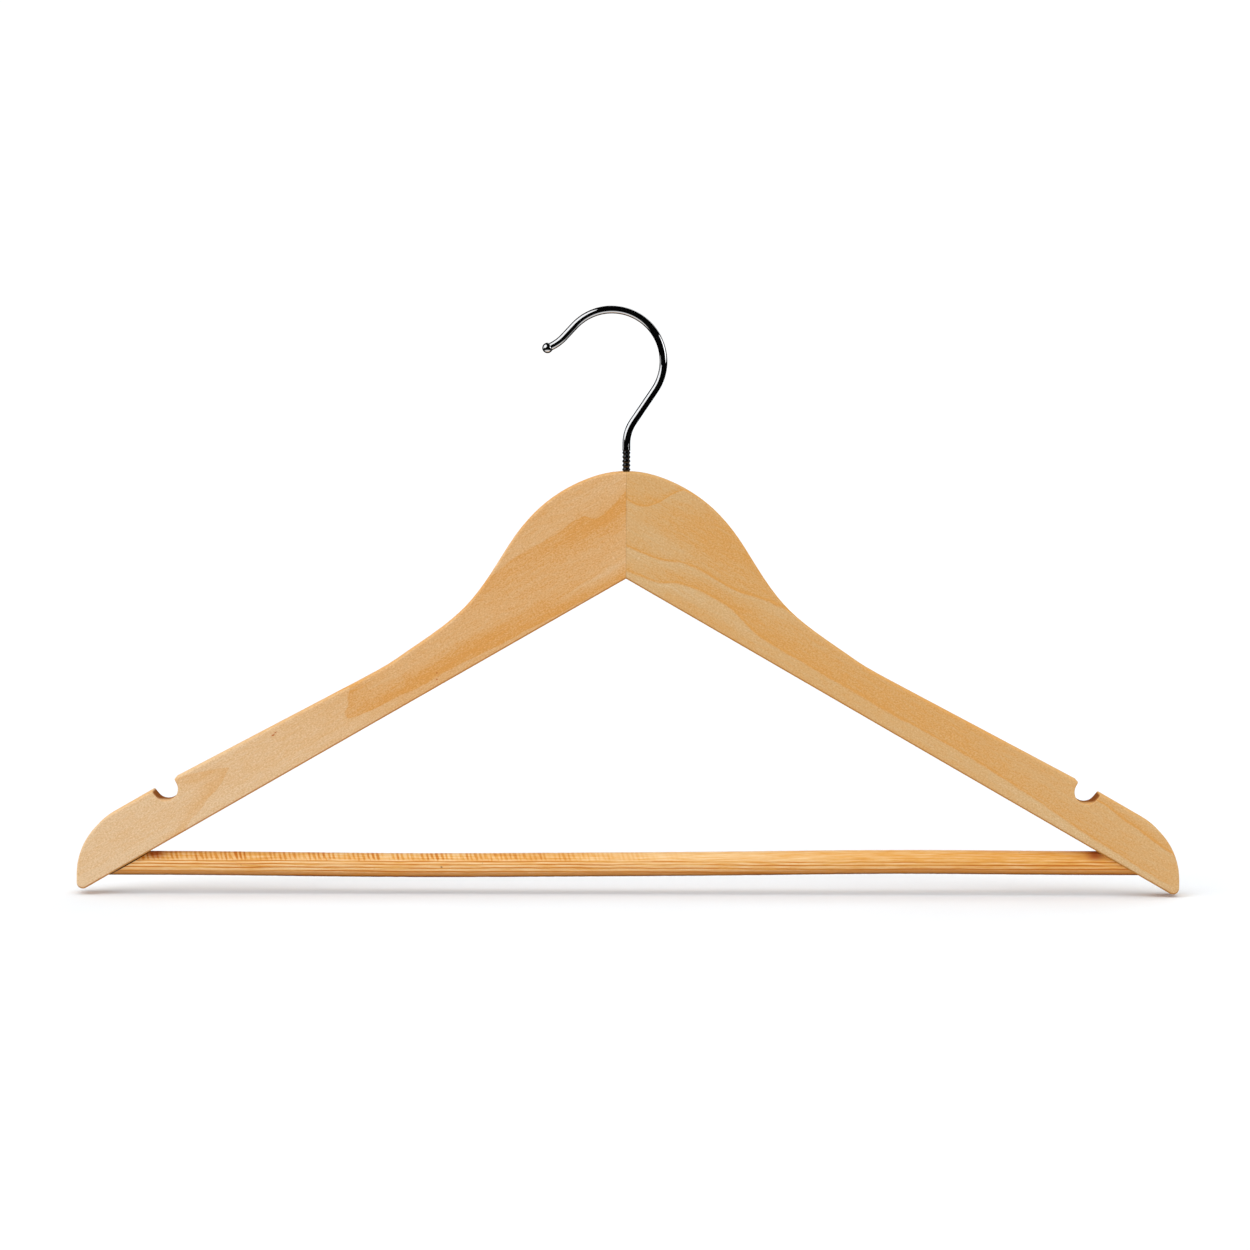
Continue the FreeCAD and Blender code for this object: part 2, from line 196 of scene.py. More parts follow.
# How far the surface faces down where the underside's painted shade begins and is full.
UNDERSIDE_FACING = (0.06, 0.50)
UNDERSIDE_SHADE_SHARE = 0.9
FIBRE_RELIEF = 0.6
PORE_RELIEF = 0.4
ARM_BUMP = 0.00003
ARM_ROUGHNESS = 0.42
FIBRE_ROUGHNESS = 0.10
ARM_SPECULAR = 0.35
ARM_COAT = 0.12
ARM_COAT_ROUGHNESS = 0.30
# How far the surface faces the front or back where the gloss begins and is full.
GLOSSY_FACING = (0.45, 0.90)

# ---- Painted shade on the walls of the strap notches ----
# Centres are (distance from the hook's axis, z), for the left and the right arm.
NOTCH_CENTRES = {-1: (0.18696, -0.19217), 1: (0.18756, -0.19249)}
NOTCH_REACH = (0.0062, 0.0068)
SHOULDER_SLOPE = 27.9
NOTCH_TOP = (0.0008, 0.0017)
# The painted shade darkens the wall between these depths, and sooner on the side towards the arm's
# tip.
NOTCH_DEPTH = (-0.0030, 0.0050)
NOTCH_OUTER_SIDE = (0.0005, 0.0040)
NOTCH_OUTER_DEPTH = 0.0075
NOTCH_RAGGEDNESS = 0.004
WALL_FACING = (0.3, 0.75)

# ---- Trouser bar ----
# Growth rings: lengths in metres, and shares of one ring for its dark latewood. The start
# sets where the lines fall and keeps the count of rings above zero.
RING_SPACING = 0.00125
RING_TILT = 24.0
RING_START = 20.37
RING_DRIFT = 0.0014
RING_RIPPLE = 0.0005
LATEWOOD_BEGINS = (0.52, 0.80)
LATEWOOD_ENDS = (0.84, 1.0)
LATEWOOD_TONE = 0.95
BAR_BASE_TONE = 0.24
LOWER_HALF = (0.0004, 0.0028)
UPPER_HALF_SHARE = 0.15
# Soft edges of wear, tick patches and specks are levels of their noise.
WEAR_EDGE = (-0.16, 0.10)
WORN_SHARE = 0.35
STREAK_TONE = 1.10
BAR_CLOUD_TONE = 0.35
# Painted shade: the bar darkens towards its right end, where the light falls off.
RIGHT_END_SHADE_SPAN = (0.02, 0.20)
RIGHT_END_SHADE_TONE = 0.16
# Slanted ticks on the upper front.
TICK_SPACING = 0.0020
TICK_SLANT = 0.45
TICK_SCATTER = 0.0022
TICK_SHARPNESS = (-0.6, 0.7)
TICK_PATCHES = (-0.16, 0.12)
TICK_FOOT = (0.0012, 0.0024)
TICK_FOOT_SCATTER = 0.0030
TICKS_FADE_OUT = (-0.08, 0.04)
TICK_TONE = 0.66
# Painted shade on the bar's upper side where it enters the arms.
BAR_ENTRY_X = 0.1915
ENTRY_SHADE_REACH = 0.0055
ENTRY_SHADE_HEIGHT = (0.0012, 0.0036)
ENTRY_SHADE_SHARE = 0.75
SPECK_EDGE = (0.36, 0.40)
SPECK_SHARE = 0.7
# How far the surface faces down where the painted shade's darker colours begin and end.
LOWER_FACING = (0.30, 0.66)
LOWER_SHADE_SHARE = 0.80
BOTTOM_FACING = (0.74, 0.98)
BOTTOM_SHADE_SHARE = 0.85
# Painted shadow of a gap under the left arm's lower edge.
GAP_EDGE = (-0.0006, -0.0003)
GAP_SIDE = (-0.1, -0.09)
STREAK_RELIEF = 0.5
TICK_RELIEF = 0.35
LATEWOOD_RELIEF = 0.6
BAR_BUMP = 0.00006
BAR_ROUGHNESS = 0.40
STREAK_ROUGHNESS = 0.14
BAR_SPECULAR = 0.35
BAR_COAT = 0.15
BAR_COAT_ROUGHNESS = 0.25

# ---- Metals: noise scales are per metre ----
PLATING_ROUGHNESS = 0.01
HAZE_SCALE = 90.0
HAZE_ROUGHNESS = 0.05
PIT_SCALE = 1700.0
PIT_EDGE = (0.74, 0.82)
PIT_SHARE = 0.4
PIT_ROUGHNESS = 0.15
PLATING_RIPPLE_SCALE = 420.0
PLATING_BUMP = 0.000003
THREAD_EDGE = (0.0002, 0.0006)
THREAD_SHARE = 0.95
THREAD_ROUGHNESS = 0.04
NAIL_ROUGHNESS = 0.25
SCUFF_SCALE = 2400.0
SCUFF_ROUGHNESS = 0.35
SCUFF_BUMP = 0.00002

# ---- Hook: the same centre line and ringed shank as the CAD hook ----
WIRE_RADIUS = 0.0016
SKIN_INSET = 0.00001
HOOK_RADIUS = 0.0208
HOOK_CENTRE_X = -0.0059
HOOK_LEAN = 34.0
NECK_BEND_RADIUS = 0.016
TIP_HEADING = 47.0
TIP_STRAIGHT = 0.0062
TIP_BEND_RADIUS = 0.017
TIP_BEND_ANGLE = 27.0
BALL_RADIUS = 0.00215
THREAD_TOP = -0.0544
THREAD_PITCH = 0.0017
THREAD_RINGS = 20
THREAD_ROOT_RADIUS = 0.0013
THREAD_CREST_RADIUS = 0.00162
THREAD_CREST_WIDTH = 0.00055
THREAD_ROOT_WIDTH = 0.00045
THREAD_STEP = 0.0001
SHANK_POINT_LENGTH = 0.0010
SHANK_POINT_RADIUS = 0.0007
UPWARDS = math.pi / 2.0
RING_SIDES = 64
STRAIGHT_STEPS = 8
BALL_STEPS = 24
SAME_PLACE = 1e-6

# ---- Floor and studio ----
FLOOR_DROP = 0.0012
FLOOR_FRONT = -0.75
FLOOR_BACK = 7.0
FLOOR_SIDE = 5.0
FLOOR_ROUGHNESS = 0.9
MOTTLE_SCALE = 30.0
SURROUND_STRENGTH = 1.05
FILL_STRENGTH = 0.62
# Reflections show a dark room with one bright patch, low down and mostly in front.
ROOM_STRENGTH = 0.002
PATCH_STRENGTH = 0.8
PATCH_TOP = (-0.76, -0.62)
PATCH_BACK = (0.0, 0.25)
# Suns: name, azimuth (0 is the camera's side, 90 the right), elevation, angle across,
# strength, and whether reflections show it.
SUNS = [
    ("key_light", -60.0, 34.0, 64.0, 1.10, True),
    ("side_light", 72.0, 12.0, 30.0, 0.42, True),
    ("top_light", 0.0, 78.0, 60.0, 0.90, False),
    ("back_light", 152.0, 26.0, 54.0, 0.55, True),
    ("edge_light", -98.0, 6.0, 30.0, 0.12, True),
]

# ---- Camera ----
AIM = Vector((-0.00037, 0.0, -0.12528))
CAMERA_DISTANCE = 1.635
CAMERA_ELEVATION = 5.2
CAMERA_ROLL = 0.15
VIEW_WIDTH = 0.508
SENSOR_WIDTH = 36.0
NEAREST_SEEN = 0.05
FARTHEST_SEEN = 60.0


def linear(share):
    """Linear value of one sRGB channel, both from 0 to 1."""
    if share <= 0.04045:
        return share / 12.92
    return ((share + 0.055) / 1.055) ** 2.4


def colour(rgb):
    """Linear colour with alpha from an sRGB one."""
    return [linear(value / 255.0) for value in rgb] + [1.0]


class Nodes:
    """A node tree, made by calls that read like the sums they stand for."""

    def __init__(self, tree):
        self.tree = tree

    def put(self, socket, value):
        if isinstance(value, bpy.types.NodeSocket):
            self.tree.links.new(value, socket)
        else:
            socket.default_value = value

    def node(self, kind, inputs, output=0, **settings):
        made = self.tree.nodes.new("ShaderNode" + kind)
        for name, value in settings.items():
            setattr(made, name, value)
        for key, value in inputs.items():
            self.put(made.inputs[key], value)
        return made.outputs[output]

    def operate(self, operation, a, b=0.0, c=0.0):
        return self.node("Math", {0: a, 1: b, 2: c}, operation=operation)

    def add(self, a, b):
        return self.operate("ADD", a, b)

    def subtract(self, a, b):
        return self.operate("SUBTRACT", a, b)

    def times(self, a, b):
        return self.operate("MULTIPLY", a, b)

    def size(self, a):
        return self.operate("ABSOLUTE", a)

    def distance(self, a, b):
        """Length of the slanted side over two sides a and b."""
        return self.operate("SQRT", self.add(self.times(a, a), self.times(b, b)))

    def turned(self, a, b, angle):
        """Distance along a direction that is turned from a towards b by an angle in degrees."""
        turn = math.radians(angle)
        return self.add(self.times(a, math.cos(turn)), self.times(b, math.sin(turn)))

    def smooth_map(self, value, low, high, at_low, at_high):
        """Runs smoothly from one value to another between low and high, level outside."""
        ends = {"Value": value, "From Min": low, "From Max": high,
                "To Min": at_low, "To Max": at_high}
        return self.node("MapRange", ends, interpolation_type="SMOOTHSTEP")

    def rise(self, value, low, high):
        """0 below low, 1 above high and smooth between."""
        return self.smooth_map(value, low, high, 0.0, 1.0)

    def fall(self, value, low, high):
        """1 below low, 0 above high and smooth between."""
        return self.smooth_map(value, low, high, 1.0, 0.0)

    def at_least(self, share, lowest):
        """A share from 0 to 1, squeezed so that it runs from the lowest to 1."""
        return self.add(self.times(share, 1.0 - lowest), lowest)

    def point(self, x, y, z):
        return self.node("CombineXYZ", {0: x, 1: y, 2: z})

    def parts(self, vector):
        return [self.node("SeparateXYZ", {0: vector}, output=index) for index in range(3)]

    def place(self, kind="Object"):
        return self.node("TexCoord", {}, output=kind)

    def noise(self, vector, scale=1.0, detail=2.0, roughness=0.5):
        inputs = {"Vector": vector, "Scale": scale, "Detail": detail, "Roughness": roughness}
        return self.node("TexNoise", inputs)

    def layer(self, places, kind, seed=0.0):
        """Noise about zero, from -0.5 to 0.5, stretched as the layer says."""
        fineness = (kind.along, kind.above, kind.through)
        x, y, z = [self.times(place, per_metre) for place, per_metre in zip(places, fineness)]
        spot = self.point(x, y, self.add(z, kind.start + seed))
        return self.subtract(self.noise(spot, detail=kind.detail, roughness=kind.roughness), 0.5)


class Paint(Nodes):
    """A new material and its nodes."""

    def __init__(self, name):
        self.material = bpy.data.materials.new(name)
        self.material.use_nodes = True
        super().__init__(self.material.node_tree)
        self.surface = self.tree.nodes["Principled BSDF"]

    def mix(self, share, a, b):
        return self.node("Mix", {0: share, 6: a, 7: b}, output=2, data_type="RGBA")

    def dimmed(self, shade, brightness):
        """The shade at a brightness, where 1 leaves it alone."""
        return self.node("HueSaturation", {"Color": shade, "Value": brightness})

    def ramp(self, value, stops):
        """Colour that runs through the stops, which are (place, sRGB colour)."""
        made = self.tree.nodes.new("ShaderNodeValToRGB")
        elements = made.color_ramp.elements
        while len(elements) < len(stops):
            elements.new(0.5)
        for element, (place, rgb) in zip(elements, stops):
            element.position = place
            element.color = colour(rgb)
        self.put(made.inputs[0], value)
        return made.outputs[0]

    def curve(self, value, points):
        """Height of the smooth curve through the points at a given place along it."""
        xs = [x for x, _ in points]
        ys = [y for _, y in points]
        low_x, span_x = min(xs), max(xs) - min(xs)
        low_y, span_y = min(ys), max(ys) - min(ys)
        made = self.tree.nodes.new("ShaderNodeFloatCurve")
        line = made.mapping.curves[0]
        while len(line.points) < len(points):
            line.points.new(0.5, 0.5)
        for place, (x, y) in zip(line.points, points):
            place.location = ((x - low_x) / span_x, (y - low_y) / span_y)
        made.mapping.update()
        ends = {"Value": value, "From Min": low_x, "From Max": low_x + span_x}
        self.put(made.inputs["Value"], self.node("MapRange", ends))
        return self.add(self.times(made.outputs[0], span_y), low_y)

    def bump(self, height, distance):
        return self.node("Bump", {"Height": height, "Distance": distance, "Strength": 1.0})

    def finish(self, **inputs):
        for name, value in inputs.items():
            self.put(self.surface.inputs[name.replace("_", " ")], value)
        return self.material


# ---- Hardwood arms ----
def grain_places(paint, x, y, z, side):
    """Distances along the arm and above its lower edge, drifting a little with depth."""
    out = paint.times(x, float(side))
    up = paint.subtract(z, INNER_CORNER_Z)
    depth = paint.subtract(y, FRONT_Y)
    along = paint.turned(out, up, -GRAIN_SLOPE)
    above = paint.turned(up, out, GRAIN_SLOPE)
    along = paint.subtract(along, paint.times(depth, DRIFT_ALONG))
    above = paint.add(above, paint.times(depth, DRIFT_ABOVE))
    return along, above


def growth_line(paint, along, above, line):
    """Tone of one growth line: dark up to it on one side, pale past it on the other."""
    place = paint.curve(along, line["points"])
    past = paint.times(paint.subtract(above, place), float(line["dark_side"]))
    start = line["points"][0][0]
    end = line["points"][-1][0]
    crisp = paint.rise(past, *LINE_EDGE)
    fading = paint.fall(past, 0.0, line["fade"])
    dark = paint.times(paint.times(crisp, fading), line["dark"])
    from_rim = paint.size(paint.subtract(past, LINE_RIM_PLACE))
    rim = paint.times(paint.fall(from_rim, 0.0, LINE_RIM_REACH), line["edge"])
    pale_side = paint.fall(past, *LINE_PALE_EDGE)
    beyond = paint.times(pale_side, paint.rise(past, -line["pale_fade"], LINE_PALE_START))
    tone = paint.subtract(paint.add(dark, rim), paint.times(beyond, line["pale"]))
    begun = paint.rise(along, start - LINE_END_FADE, start)
    unfinished = paint.fall(along, end, end + LINE_END_FADE)
    return paint.times(tone, paint.times(begun, unfinished))


def flame(paint, along, above, shape):
    """Tone of one dark tongue, crisp at its outline and fading away inside."""
    tip_along, tip_above = shape["tip"]
    inward = paint.times(paint.subtract(along, tip_along), float(shape["towards"]))
    across = paint.subtract(above, tip_above)
    across = paint.subtract(across, paint.times(inward, shape["lean"]))
    across = paint.times(across, shape["slimness"])
    outline = paint.subtract(paint.distance(across, FLAME_ROUNDNESS), FLAME_ROUNDNESS)
    depth = paint.subtract(inward, outline)
    crisp = paint.rise(depth, *FLAME_EDGE)
    fading = paint.fall(depth, FLAME_FADE_START, shape["fade"])
    return paint.times(paint.times(crisp, fading), shape["dark"])


def from_centre(paint, along, above, centre_along, centre_above, half_length, half_height):
    """Distance from an oval's centre, where 1 is its outline."""
    u = paint.times(paint.subtract(along, centre_along), 1.0 / half_length)
    v = paint.times(paint.subtract(above, centre_above), 1.0 / half_height)
    return paint.distance(u, v)


def zone(paint, along, above, cloud):
    """Tone of one soft cloud in the wood."""
    *oval, tone = cloud
    return paint.times(paint.fall(from_centre(paint, along, above, *oval), *ZONE_EDGE), tone)


def flecks(paint, along, above, places):
    """Mask of small dark flecks."""
    mask = 0.0
    for oval in places:
        spot = paint.fall(from_centre(paint, along, above, *oval), *FLECK_EDGE)
        mask = paint.operate("MAXIMUM", spot, mask)
    return mask


def notch_wall_shade(paint, x, y, z, side, fibres, front_facing):
    """Mask of painted shade on a strap notch's wall, which darkens from front to back with a
    ragged edge.
    """
    notch_x, notch_z = NOTCH_CENTRES[side]
    out = paint.subtract(paint.size(x), notch_x)
    up = paint.subtract(z, notch_z)
    near = paint.fall(paint.distance(out, up), *NOTCH_REACH)
    below_shoulder = paint.fall(paint.turned(up, out, SHOULDER_SLOPE), *NOTCH_TOP)
    wall = paint.fall(front_facing, *WALL_FACING)
    outer_side = paint.rise(out, *NOTCH_OUTER_SIDE)
    depth = paint.add(y, paint.times(fibres, NOTCH_RAGGEDNESS))
    depth = paint.add(depth, paint.times(outer_side, NOTCH_OUTER_DEPTH))
    deep = paint.rise(depth, *NOTCH_DEPTH)
    return paint.times(paint.times(near, below_shoulder), paint.times(wall, deep))


def arm_wood(name, side, figure):
    """Fine pale hardwood under satin lacquer, with its grain along the arm."""
    paint = Paint(name)
    x, y, z = paint.parts(paint.place())
    along, above = grain_places(paint, x, y, z, side)
    seed = ARM_SEED_STEP * side

    # the figure wanders a little, so nothing in it is drawn with a ruler
    wander = paint.layer((along, above, y), ARM_WANDER, seed)
    above = paint.add(above, paint.times(wander, WANDER_REACH))
    ragged = paint.layer((along, above, y), ARM_RAGGED, seed)
    ragged_along = paint.add(along, paint.times(ragged, RAGGED_REACH))

    tone = paint.curve(along, figure["tone"])
    for line in figure["lines"]:
        tone = paint.add(tone, growth_line(paint, along, above, line))
    for shape in figure["flames"]:
        tone = paint.add(tone, flame(paint, ragged_along, above, shape))
    for cloud in figure["zones"]:
        tone = paint.add(tone, zone(paint, along, above, cloud))

    # soft clouds and bands that follow the grain, short fibres and fine pores
    grain = (along, above, y)
    clouds = paint.layer(grain, ARM_CLOUDS)
    bands = paint.layer(grain, ARM_BANDS, seed)
    fibres = paint.layer(grain, ARM_FIBRES)
    pores = paint.layer(grain, ARM_PORES)
    tone = paint.add(tone, paint.times(clouds, CLOUD_TONE))
    tone = paint.add(tone, paint.times(bands, BAND_TONE))
    tone = paint.add(tone, paint.times(fibres, FIBRE_TONE))
    tone = paint.add(tone, paint.times(pores, PORE_TONE))

    pale, middle, dark = figure["tones"]
    wood = paint.ramp(tone, [(0.0, pale), (0.5, middle), (1.0, dark)])
    wood = paint.dimmed(wood, paint.subtract(1.0, paint.times(pores, PORE_DIMMING)))
    wood = paint.mix(flecks(paint, along, above, figure["flecks"]), wood, colour(ARM_FLECK))
    seam = paint.fall(paint.size(x), *SEAM_EDGE)
    wood = paint.mix(paint.times(seam, SEAM_SHARE), wood, colour(ARM_SEAM))

    _, facing_y, facing_z = paint.parts(paint.place("Normal"))
    front_facing = paint.size(facing_y)
    # painted shade on the notch walls, deepening from front to back
    notch_shade = notch_wall_shade(paint, x, y, z, side, fibres, front_facing)
    wood = paint.mix(notch_shade, wood, colour(ARM_NOTCH_SHADE))

    # painted shade: the lower edge and the bottoms of the tips are darker because they face down
    under = paint.rise(paint.times(facing_z, -1.0), *UNDERSIDE_FACING)
    wood = paint.mix(paint.times(under, UNDERSIDE_SHADE_SHARE), wood, colour(ARM_UNDERSIDE_SHADE))

    rough = paint.add(paint.times(fibres, FIBRE_ROUGHNESS), ARM_ROUGHNESS)
    relief = paint.add(paint.times(fibres, FIBRE_RELIEF), paint.times(pores, PORE_RELIEF))
    normal = paint.bump(relief, ARM_BUMP)
    # the cut edges are kept duller than the faces, because at a shallow angle they would
    # mirror the dark room and turn brown
    glossy = paint.rise(front_facing, *GLOSSY_FACING)
    return paint.finish(Base_Color=wood, Roughness=rough, Normal=normal,
                        Specular_IOR_Level=paint.times(glossy, ARM_SPECULAR),
                        Coat_Weight=paint.times(glossy, ARM_COAT),
                        Coat_Roughness=ARM_COAT_ROUGHNESS)


# ---- Softwood trouser bar ----
def dark_rings(paint, x, up, y):
    """Mask of the dark latewood lines, which are faint on the upper half and worn in places."""
    place = paint.turned(up, y, RING_TILT)
    place = paint.add(place, paint.times(paint.layer((x, up, y), BAR_DRIFT), RING_DRIFT))
    place = paint.add(place, paint.times(paint.layer((x, up, y), BAR_RIPPLE), RING_RIPPLE))
    rings = paint.add(paint.times(place, 1.0 / RING_SPACING), RING_START)
    phase = paint.operate("FRACT", rings)
    latewood = paint.times(paint.rise(phase, *LATEWOOD_BEGINS), paint.fall(phase, *LATEWOOD_ENDS))
    lower_half = paint.fall(up, *LOWER_HALF)
    latewood = paint.times(latewood, paint.at_least(lower_half, UPPER_HALF_SHARE))
    fresh = paint.rise(paint.layer((x, up, y), BAR_WEAR), *WEAR_EDGE)
    return paint.times(latewood, paint.at_least(fresh, WORN_SHARE))


def tick_marks(paint, x, up, y):
    """Mask of slanted, uneven ticks on the upper front that fade out past the middle."""
    tick_at = paint.add(x, paint.times(up, TICK_SLANT))
    jitter = paint.layer((x, up, y), TICK_JITTER)
    tick_at = paint.add(tick_at, paint.times(jitter, TICK_SCATTER))
    wave = paint.operate("SINE", paint.times(tick_at, 2.0 * math.pi / TICK_SPACING))
    strength = paint.rise(paint.layer((x, up, y), TICK_STRENGTH), *TICK_PATCHES)
    foot = paint.times(paint.layer((x, up, y), TICK_FEET), TICK_FOOT_SCATTER)
    high_enough = paint.rise(paint.add(up, foot), *TICK_FOOT)
    reach = paint.times(high_enough, paint.fall(x, *TICKS_FADE_OUT))
    return paint.times(paint.times(paint.rise(wave, *TICK_SHARPNESS), strength), reach)


def bar_wood():
    """Round softwood: straight growth rings, and slanted tick marks on its upper front."""
    paint = Paint("bar_wood_finish")
    x, y, z = paint.parts(paint.place())
    up = paint.subtract(z, BAR_AXIS_Z)
    grain = (x, up, y)
    latewood = dark_rings(paint, x, up, y)
    ticks = tick_marks(paint, x, up, y)
    streaks = paint.layer(grain, BAR_STREAKS)
    clouds = paint.layer(grain, BAR_CLOUDS)
    # painted shade towards the bar's right end, where the light falls off
    right_end_shade = paint.rise(x, *RIGHT_END_SHADE_SPAN)

    tone = paint.add(paint.times(latewood, LATEWOOD_TONE), BAR_BASE_TONE)
    tone = paint.add(tone, paint.times(streaks, STREAK_TONE))
    tone = paint.add(tone, paint.times(clouds, BAR_CLOUD_TONE))
    tone = paint.add(tone, paint.times(right_end_shade, RIGHT_END_SHADE_TONE))
    tone = paint.add(tone, paint.times(ticks, TICK_TONE))
    wood = paint.ramp(tone, [(0.0, BAR_PALE), (0.45, BAR_MIDDLE), (1.0, BAR_LATEWOOD)])

    # painted shade where the bar enters the arms, and a few dark specks
    from_entry = paint.size(paint.subtract(paint.size(x), BAR_ENTRY_X))
    entry_shade = paint.times(paint.fall(from_entry, 0.0, ENTRY_SHADE_REACH), paint.rise(up, *ENTRY_SHADE_HEIGHT))
    wood = paint.mix(paint.times(entry_shade, ENTRY_SHADE_SHARE), wood, colour(BAR_ENTRY_SHADE))
    specks = paint.rise(paint.layer(grain, BAR_SPECKS), *SPECK_EDGE)
    wood = paint.mix(paint.times(specks, SPECK_SHARE), wood, colour(BAR_SPECK_AND_UNDERSIDE_SHADE))

    # painted shade: darker towards the underside, which faces away from the light
    downward = paint.times(paint.parts(paint.place("Normal"))[2], -1.0)
    lower = paint.rise(downward, *LOWER_FACING)
    wood = paint.mix(paint.times(lower, LOWER_SHADE_SHARE), wood, colour(BAR_LOWER_SHADE))
    under = paint.rise(downward, *BOTTOM_FACING)
    wood = paint.mix(paint.times(under, BOTTOM_SHADE_SHARE), wood, colour(BAR_SPECK_AND_UNDERSIDE_SHADE))

    # painted shadow of a gap where the left arm's lower edge crosses the bar
    above_corner = paint.subtract(z, INNER_CORNER_Z)
    under_arm = paint.turned(above_corner, x, -LOWER_EDGE_SLOPE)
    gap_shadow = paint.times(paint.rise(under_arm, *GAP_EDGE), paint.fall(x, *GAP_SIDE))
    wood = paint.mix(gap_shadow, wood, colour(BAR_GAP_SHADOW))

    rough = paint.add(paint.times(streaks, STREAK_ROUGHNESS), BAR_ROUGHNESS)
    relief = paint.times(streaks, STREAK_RELIEF)
    relief = paint.subtract(relief, paint.times(ticks, TICK_RELIEF))
    relief = paint.add(relief, paint.times(latewood, LATEWOOD_RELIEF))
    return paint.finish(Base_Color=wood, Roughness=rough, Normal=paint.bump(relief, BAR_BUMP),
                        Specular_IOR_Level=BAR_SPECULAR, Coat_Weight=BAR_COAT,
                        Coat_Roughness=BAR_COAT_ROUGHNESS)


# ---- Metals ----
def chrome():
    """Bright plating, almost a mirror, that is darker and duller on the threaded shank."""
    paint = Paint("hook_chrome_finish")
    place = paint.place()
    haze = paint.noise(place, scale=HAZE_SCALE, detail=3.0)
    pits = paint.rise(paint.noise(place, scale=PIT_SCALE, detail=1.0), *PIT_EDGE)
    shade = paint.mix(paint.times(pits, PIT_SHARE), colour(CHROME), colour(STEEL))
    above_thread = paint.subtract(paint.parts(place)[2], THREAD_TOP)
    threaded = paint.fall(above_thread, *THREAD_EDGE)
    shade = paint.mix(paint.times(threaded, THREAD_SHARE), shade, colour(THREAD_DARK))
    rough = paint.add(paint.times(haze, HAZE_ROUGHNESS), PLATING_ROUGHNESS)
    rough = paint.add(rough, paint.times(pits, PIT_ROUGHNESS))
    rough = paint.add(rough, paint.times(threaded, THREAD_ROUGHNESS))
    ripple = paint.noise(place, scale=PLATING_RIPPLE_SCALE, detail=2.0)
    normal = paint.bump(paint.subtract(ripple, pits), PLATING_BUMP)
    return paint.finish(Base_Color=shade, Metallic=1.0, Roughness=rough, Normal=normal)


def steel():
    """Plain nail steel, scuffed."""
    paint = Paint("nail_steel_finish")
    scuffs = paint.noise(paint.place(), scale=SCUFF_SCALE, detail=3.0)
    shade = paint.mix(scuffs, colour(STEEL), colour(STEEL_SCUFFED))
    rough = paint.add(paint.times(scuffs, SCUFF_ROUGHNESS), NAIL_ROUGHNESS)
    normal = paint.bump(scuffs, SCUFF_BUMP)
    return paint.finish(Base_Color=shade, Metallic=1.0, Roughness=rough, Normal=normal)


def cover(node, material):
    """Gives a CAD node one finish all over."""
    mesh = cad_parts[node].data
    mesh.materials.clear()
    mesh.materials.append(material)


# ---- Hook ----
def shank_section():
    """The ringed shank from its point up to the smooth wire, as (z, radius)."""
    bottom = THREAD_TOP - THREAD_RINGS * THREAD_PITCH
    section = [(bottom - SHANK_POINT_LENGTH, SHANK_POINT_RADIUS), (bottom, THREAD_ROOT_RADIUS)]
    half_crest = THREAD_CREST_WIDTH / 2.0
    half_foot = (THREAD_PITCH - THREAD_ROOT_WIDTH) / 2.0
    for index in reversed(range(THREAD_RINGS)):
        middle = THREAD_TOP - (index + 0.5) * THREAD_PITCH
        section.append((middle - half_foot, THREAD_ROOT_RADIUS))
        section.append((middle - half_crest, THREAD_CREST_RADIUS))
        section.append((middle + half_crest, THREAD_CREST_RADIUS))
        section.append((middle + half_foot, THREAD_ROOT_RADIUS))
    section.append((THREAD_TOP - THREAD_STEP, THREAD_ROOT_RADIUS))
    section.append((THREAD_TOP, WIRE_RADIUS))
    section.append((THREAD_TOP + THREAD_STEP, WIRE_RADIUS))
    return section


def towards(heading):
    """Step of length 1 in the hook's plane, as (x, z)."""
    return Vector((math.cos(heading), math.sin(heading)))


